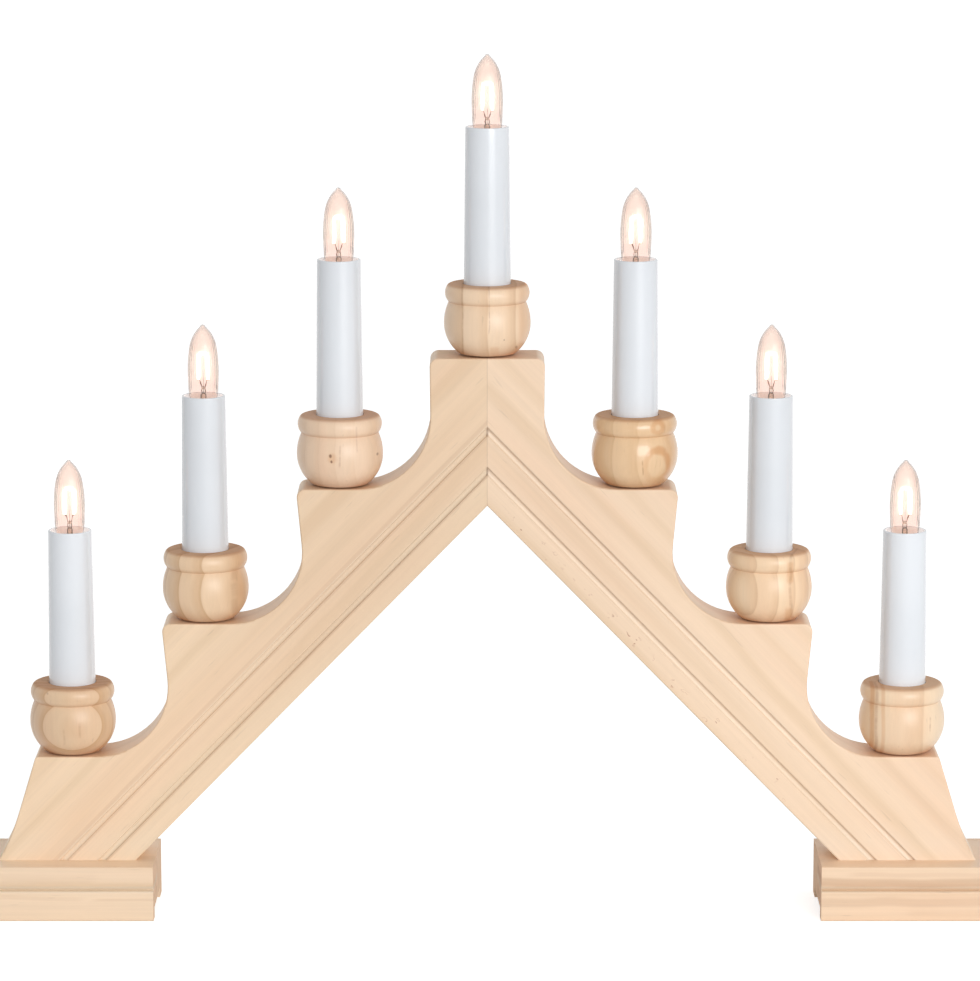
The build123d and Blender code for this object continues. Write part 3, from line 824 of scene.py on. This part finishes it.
def glass_line(height, radius):
    """Outer outline of the glass, from the foot of the neck up to the crown, as (radius, height)."""
    belly = (radius, glass_belly_rise)
    mouth = (glass_mouth_radius, glass_mouth_rise)
    throat = (glass_neck_radius, glass_neck_rise)
    waist = (glass_waist_radius, glass_waist_rise)
    tip = (glass_tip_radius, height - glass_tip_drop)
    crown = (0, height)
    lower, down = tangent_arc(belly, (0, -1), mouth, mouth_arc_steps)
    neck = tangent_arc(lower[-1], down, throat, neck_arc_steps)[0]
    upper, up = tangent_arc(belly, (0, 1), waist, waist_arc_steps)
    flame = tangent_arc(waist, up, tip, flame_arc_steps)[0]
    cap = tangent_arc(crown, (1, 0), tip, crown_arc_steps)[0]
    foot = Vector((glass_neck_radius, glass_foot_rise))
    below = [foot] + neck[::-1] + lower[-2::-1]
    return below + [Vector(belly)] + upper + flame + cap[-2::-1] + [Vector(crown)]


def add_face(mesh, corners, index):
    face = mesh.faces.new(corners)
    face.material_index = index
    face.smooth = True


def bridge(mesh, first, second, index):
    """Quads between two rings of as many points."""
    count = len(first)
    for step in range(count):
        after = (step + 1) % count
        add_face(mesh, (first[step], first[after], second[after], second[step]), index)


def fan(mesh, ring, pole, index, flip):
    """Triangles between a ring and one point."""
    count = len(ring)
    for step in range(count):
        after = (step + 1) % count
        corners = (ring[after], ring[step], pole) if flip else (ring[step], ring[after], pole)
        add_face(mesh, corners, index)


def add_wire(mesh, points, radius, sides, index):
    """Round wire through the points, closed at both ends."""
    points = [Vector(point) for point in points]
    rings = []
    frame_x = None
    for place, point in enumerate(points):
        before = points[max(place - 1, 0)]
        behind = points[min(place + 1, len(points) - 1)]
        direction = (behind - before).normalized()
        if frame_x is None:
            other = Vector((0, 1, 0)) if abs(direction.y) < 0.9 else Vector((1, 0, 0))
            frame_x = direction.cross(other).normalized()
        else:
            frame_x = (frame_x - direction * frame_x.dot(direction)).normalized()
        frame_y = direction.cross(frame_x)
        ring = []
        for step in range(sides):
            angle = 2 * math.pi * step / sides
            outward = frame_x * math.cos(angle) + frame_y * math.sin(angle)
            ring.append(mesh.verts.new(point + outward * radius))
        rings.append(ring)
    for first, second in zip(rings, rings[1:]):
        bridge(mesh, first, second, index)
    fan(mesh, rings[0], mesh.verts.new(points[0]), index, True)
    fan(mesh, rings[-1], mesh.verts.new(points[-1]), index, False)


def add_lathe(mesh, outline, sides, index, radius_at=None):
    """Surface of revolution about Z through (radius, height) points. A radius of zero is a pole."""
    previous = None
    for radius, height in outline:
        if radius == 0:
            current = mesh.verts.new((0, 0, height))
        else:
            current = []
            for step in range(sides):
                angle = 2 * math.pi * step / sides
                wide = radius_at(radius, height, angle) if radius_at else radius
                current.append(mesh.verts.new((wide * math.cos(angle), wide * math.sin(angle), height)))
        if isinstance(previous, list) and isinstance(current, list):
            bridge(mesh, previous, current, index)
        elif isinstance(previous, list):
            fan(mesh, previous, current, index, False)
        elif previous is not None:
            fan(mesh, current, previous, index, True)
        previous = current


def piece_from(mesh, name, materials):
    """Object of the mesh with its materials."""
    bmesh.ops.recalc_face_normals(mesh, faces=mesh.faces)
    data = bpy.data.meshes.new(name)
    mesh.to_mesh(data)
    mesh.free()
    for material in materials:
        data.materials.append(material)
    made = bpy.data.objects.new(name, data)
    bpy.context.scene.collection.objects.link(made)
    return made


# Painted rosy tint of the glass by its height, standing in for the filament's light, as a share of the
# bulb's rise
painted_glow_tints = (
    (0.0, (0.975, 0.865, 0.81, 1.0)),
    (0.18, (0.98, 0.85, 0.79, 1.0)),
    (0.45, (1.0, 0.90, 0.84, 1.0)),
    (0.68, (1.0, 0.875, 0.81, 1.0)),
    (0.90, (0.99, 0.875, 0.815, 1.0)),
    (1.0, (0.97, 0.87, 0.82, 1.0)),
)
haze_start = 8 * mm
haze_full = 11 * mm
# Painted glow on the glass round the filament
halo_rise = 15 * mm
halo_half = 5 * mm
glass_ior = 1.45


def clear_glass():
    """Clear glass with a painted rosy tint standing in for the filament's light, hazy round the filament,
    and with a faint painted glow there.
    """
    graph = material_graph("lamp_glass")
    z = graph.split(graph.place())[2]
    reach = max(glass_reach(number)[2] for number in candle_numbers)
    halo = graph.window(z, halo_rise, halo_half, halo_half)
    return graph.surface(
        Base_Color=graph.ramp(graph.math("DIVIDE", z, reach), painted_glow_tints, "LINEAR"),
        Roughness=graph.span(z, haze_start, haze_full, 0.04, 0.26),
        IOR=glass_ior,
        Transmission_Weight=1.0,
        Emission_Color=srgb(255, 236, 206),
        Emission_Strength=graph.math("MULTIPLY", halo, 0.018),
    )


def filament_glow():
    """White-hot wire, uneven along its turns."""
    graph = material_graph("filament_glow")
    colour = srgb(255, 246, 236)
    strength = 2.4
    turns = graph.noise(graph.place(), 900.0, 1.0)
    return graph.surface(
        Base_Color=colour,
        Roughness=0.5,
        Emission_Color=colour,
        Emission_Strength=graph.math("MULTIPLY_ADD", turns, strength * 0.4, strength),
    )


def stem_glass():
    """Thick glass of the stem and the bead, faintly clouded."""
    graph = material_graph("stem_glass")
    cloud = graph.noise(graph.place(), 500.0)
    tint = graph.ramp(cloud, [(0.35, srgb(240, 222, 208)), (0.65, srgb(250, 238, 230))])
    return graph.surface(Base_Color=tint, Roughness=0.12, IOR=glass_ior, Transmission_Weight=0.85)


stem_foot_radius = 3.6 * mm
stem_foot_gap = 0.1 * mm
stem_foot_top = -6.0 * mm
stem_shoulder_radius = stem_foot_radius * 0.6
stem_shoulder_rise = -5.2 * mm
stem_radius = 1.5 * mm
stem_root_rise = -4.2 * mm
stem_pinch_radius = stem_radius * 0.9
stem_pinch_rise = 0.4 * mm
stem_tip_radius = stem_radius * 0.55
stem_tip_rise = 1.1 * mm
stem_top = 1.3 * mm
stem_sides = 24
bead_rise = 3.7 * mm
bead_radius = 1.0 * mm
bead_half_height = bead_radius * 0.8
bead_steps = 8
bead_sides = 20

lead_radius = 0.20 * mm
lead_spread = 0.75 * mm
lead_root_rise = 0.6 * mm
lead_bow_spread = lead_spread * 1.3
lead_bow_rise = 2.2 * mm
hook_rise = 7.5 * mm
hook_inner = 1.7 * mm
hook_outer = 2.8 * mm
hook_bend = hook_inner * 0.85
hook_bend_drop = 1.2 * mm
hook_knee_drop = 0.3 * mm
hook_tip_drop = 0.05 * mm
lead_sides = 8

support_radius = lead_radius * 0.7
support_root_rise = 1 * mm
support_sway = 0.1 * mm
support_sway_rise = 12 * mm
support_rise = 20.3 * mm
support_reach = 1.5 * mm
support_arch = 0.2 * mm
support_sides = 6

coil_spread = 2.3 * mm
coil_shoulder = 18.6 * mm
coil_radius = 0.6 * mm
coil_wire = 0.10 * mm
coil_pitch = 0.36 * mm
coil_points_a_turn = 9
coil_sides = 5


def coil_line():
    """Helix along the filament's path over the support."""
    corners = [
        Vector((-coil_spread, 0, hook_rise)),
        Vector((-coil_spread, 0, coil_shoulder)),
        Vector((-support_reach, 0, support_rise)),
        Vector((support_reach, 0, support_rise)),
        Vector((coil_spread, 0, coil_shoulder)),
        Vector((coil_spread, 0, hook_rise)),
    ]
    points = []
    angle = 0.0
    for start, end in zip(corners, corners[1:]):
        run = end - start
        side = Vector((0, 1, 0))
        up = run.normalized().cross(side)
        steps = int(run.length / (coil_pitch / coil_points_a_turn))
        for step in range(steps):
            centre = start + run * (step / steps)
            points.append(centre + (side * math.cos(angle) + up * math.sin(angle)) * coil_radius)
            angle += 2 * math.pi / coil_points_a_turn
    return points


def stem_line():
    return [
        (0, glass_foot_rise + stem_foot_gap),
        (stem_foot_radius, glass_foot_rise + stem_foot_gap),
        (stem_foot_radius, stem_foot_top),
        (stem_shoulder_radius, stem_shoulder_rise),
        (stem_radius, stem_root_rise),
        (stem_pinch_radius, stem_pinch_rise),
        (stem_tip_radius, stem_tip_rise),
        (0, stem_top),
    ]


def bead_line():
    points = []
    for step in range(bead_steps + 1):
        angle = math.pi * step / bead_steps
        wide = 0 if step in (0, bead_steps) else bead_radius * math.sin(angle)
        points.append((wide, bead_rise - bead_half_height * math.cos(angle)))
    return points


def lead_line(side):
    return [
        (side * lead_spread, 0, lead_root_rise),
        (side * lead_bow_spread, 0, lead_bow_rise),
        (side * lead_spread, 0, bead_rise),
        (side * hook_bend, 0, hook_rise - hook_bend_drop),
        (side * hook_inner, 0, hook_rise - hook_knee_drop),
        (side * (hook_inner + hook_outer) / 2, 0, hook_rise),
        (side * hook_outer, 0, hook_rise - hook_tip_drop),
    ]


def filament_mount(number, materials):
    """Stem, bead, leads, support and coil. The materials are the coil's, leads', glass's and support's."""
    coil, lead, glass, support = range(len(materials))
    mesh = bmesh.new()
    add_lathe(mesh, stem_line(), stem_sides, glass)
    add_lathe(mesh, bead_line(), bead_sides, glass)
    for side in (-1, 1):
        add_wire(mesh, lead_line(side), lead_radius, lead_sides, lead)
    post = [
        (0, 0, support_root_rise),
        (0, 0, bead_rise),
        (support_sway, 0, support_sway_rise),
        (0, 0, support_rise),
    ]
    add_wire(mesh, post, support_radius, support_sides, support)
    arch = [
        (-support_reach, 0, support_rise),
        (0, 0, support_rise + support_arch),
        (support_reach, 0, support_rise),
    ]
    add_wire(mesh, arch, lead_radius, support_sides, support)
    add_wire(mesh, coil_line(), coil_wire, coil_sides, coil)
    return piece_from(mesh, f"bulb_filament_{number}", materials)


def ribbed(wide, rise, angle):
    """Radius of the glass with its ribs, which fade out towards the mouth and the tip."""
    begin = min(1.0, max(0.0, (rise - rib_start_rise) / rib_fade_in))
    end = min(1.0, max(0.0, (rib_end_rise - rise) / rib_fade_out))
    return wide - rib_depth * begin * end * (0.5 - 0.5 * math.cos(glass_ribs * angle))


def bulb_glass(number, height, radius, material):
    """Glass with an even wall, just inside the solid's skin."""
    outer = glass_line(height - glass_skin, radius - glass_skin)
    outline = [(point.x if point.x > tiny else 0, point.y) for point in outer]
    inner = [(outer[0].x - glass_wall, outer[0].y)]
    for before, point, after in zip(outer, outer[1:], outer[2:]):
        rise = (after - before).normalized()
        inside = point + Vector((-rise.y, rise.x)) * glass_wall
        if inside.x > glass_tip_bore:
            inner.append((inside.x, inside.y))
    top_inside = (0, height - glass_skin - glass_wall)
    mesh = bmesh.new()
    sides = glass_ribs * rib_steps
    add_lathe(mesh, outline, sides, 0, ribbed)
    add_lathe(mesh, [top_inside] + inner[::-1], sides, 0, ribbed)
    lowest = {vert for vert in mesh.verts if vert.co.z < glass_foot_rise + tiny}
    foot_edges = [edge for edge in mesh.edges if edge.is_boundary and lowest.issuperset(edge.verts)]
    bmesh.ops.bridge_loops(mesh, edges=foot_edges)
    for face in mesh.faces:
        face.smooth = True
    return piece_from(mesh, f"bulb_shell_{number}", [material])


lamp_glass = clear_glass()
mount_materials = [
    filament_glow(),
    metal("lead_wire", (150, 108, 84), 0.36, 1.0),
    stem_glass(),
    metal("support_wire", (236, 226, 218), 0.3, 1.0),
]
bulb_turns = {1: 6, 2: -14, 3: 20, 4: -5, 5: 12, 6: -22, 7: 3}
for number in candle_numbers:
    centre_x, mouth, height, radius = glass_reach(number)
    shell = bulb_glass(number, height, radius, lamp_glass)
    mount = filament_mount(number, mount_materials)
    for piece, node, slot in ((shell, "bulb_glass", "lamp_glass"), (mount, "filament_mount", "lamp_mount")):
        piece.location = (centre_x, 0, mouth)
        piece.rotation_euler = (0, 0, math.radians(bulb_turns[number]))
        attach(piece, f"bulb_{number}")
        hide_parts(f"{node}_{number}")


# Floor, surround, lamp and camera

def studio_floor():
    """Pale floor that keeps the object's shadow and shows white."""
    graph = material_graph("floor_white")
    plain = graph.node("ShaderNodeBsdfDiffuse", {"Color": grey(floor_tone)})
    strength = graph.math("MULTIPLY", graph.seen(), floor_glow)
    glow = graph.node("ShaderNodeEmission", {"Strength": strength})
    graph.finish(graph.node("ShaderNodeAddShader", {0: plain.outputs[0], 1: glow.outputs[0]}))
    mesh = bmesh.new()
    corners = [(-1, -1), (1, -1), (1, 1), (-1, 1)]
    mesh.faces.new([mesh.verts.new((x * floor_reach, y * floor_reach, 0)) for x, y in corners])
    piece_from(mesh, "floor", [graph.owner])


def studio_surround():
    """Even light all round that shows white."""
    world = bpy.data.worlds.new("surround")
    bpy.context.scene.world = world
    graph = Graph(world)
    lit = graph.node("ShaderNodeBackground", {"Color": grey(1.0), "Strength": surround_light})
    shown = graph.node("ShaderNodeBackground", {"Color": grey(1.0)})
    inputs = {0: graph.seen(), 1: lit.outputs[0], 2: shown.outputs[0]}
    graph.finish(graph.node("ShaderNodeMixShader", inputs), "ShaderNodeOutputWorld")


def key_lamp():
    data = bpy.data.lights.new("key", "AREA")
    data.shape = "RECTANGLE"
    data.size = key_width
    data.size_y = key_height
    data.energy = key_power
    lamp = bpy.data.objects.new("key", data)
    flat = math.cos(key_elevation)
    away = Vector((math.sin(key_azimuth) * flat, -math.cos(key_azimuth) * flat, math.sin(key_elevation)))
    lamp.location = look_at + away * key_distance
    lamp.rotation_euler = (-away).to_track_quat("-Z", "Y").to_euler()
    # Seen from behind, the hazy glass would flare with the lamp
    lamp.visible_transmission = False
    bpy.context.scene.collection.objects.link(lamp)


def photo_camera():
    data = bpy.data.cameras.new("camera")
    data.lens = camera_lens
    data.sensor_width = camera_sensor
    camera = bpy.data.objects.new("camera", data)
    camera.location = camera_place
    camera.rotation_euler = (math.pi / 2 - camera_pitch, 0, 0)
    bpy.context.scene.collection.objects.link(camera)
    bpy.context.scene.camera = camera


studio_floor()
studio_surround()
key_lamp()
photo_camera()
bpy.context.scene.view_settings.view_transform = "Standard"
